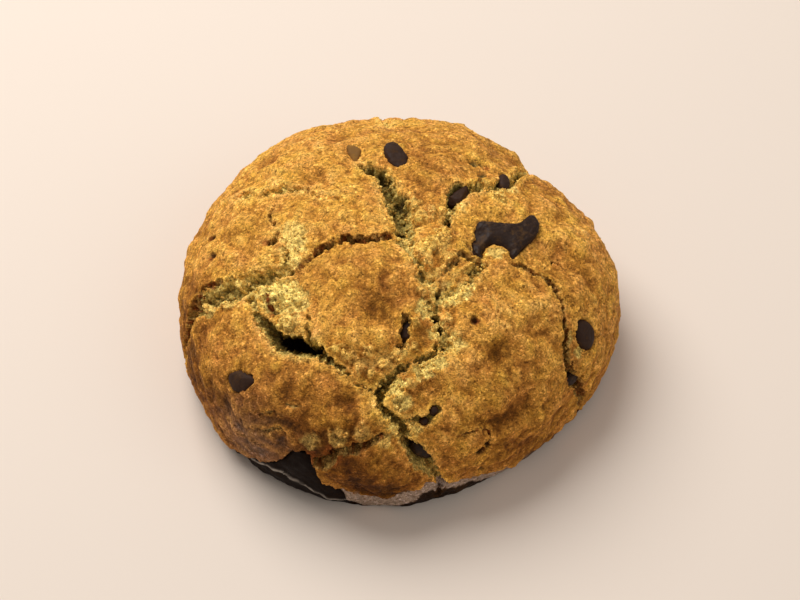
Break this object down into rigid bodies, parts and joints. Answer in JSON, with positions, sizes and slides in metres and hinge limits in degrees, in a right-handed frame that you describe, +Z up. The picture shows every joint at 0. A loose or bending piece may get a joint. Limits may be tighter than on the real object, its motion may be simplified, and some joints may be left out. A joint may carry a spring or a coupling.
{
  "type": "chocolate chip cookie",
  "caption": "Tall domed home-baked chocolate chip cookie with a flat base, deep cracks between golden plates of crust, and dark chips and a chunk showing in them.",
  "frame": {"origin": "middle of the bounding box at the level of the flat base, on the table", "axes": "+Z up through the dome; +X to the viewer's right and +Y away from the viewer, seen from the side of the melted chocolate's foot"},
  "size_m": [0.0868, 0.0871, 0.0351],
  "materials": {
    "dough": "dry baked crust, sugar-grained, golden on top and browner low down, paler crumb in the cracks",
    "chocolate": "dark chocolate with a soft satin sheen and a dusting of crumb"
  },
  "bodies": {
    "root": {"dough": "dough", "chip_north": "chocolate", "chip_east": "chocolate", "chip_west": "chocolate", "chip_wedge": "chocolate", "chip_notch": "chocolate", "chip_hollow": "chocolate", "chip_foot": "chocolate", "chip_spur_left": "chocolate", "chip_spur_right": "chocolate", "chunk_bar": "chocolate", "chip_crack_northeast": "chocolate", "chip_crack_east": "chocolate", "chocolate_melt": "chocolate"}
  },
  "joints": []
}
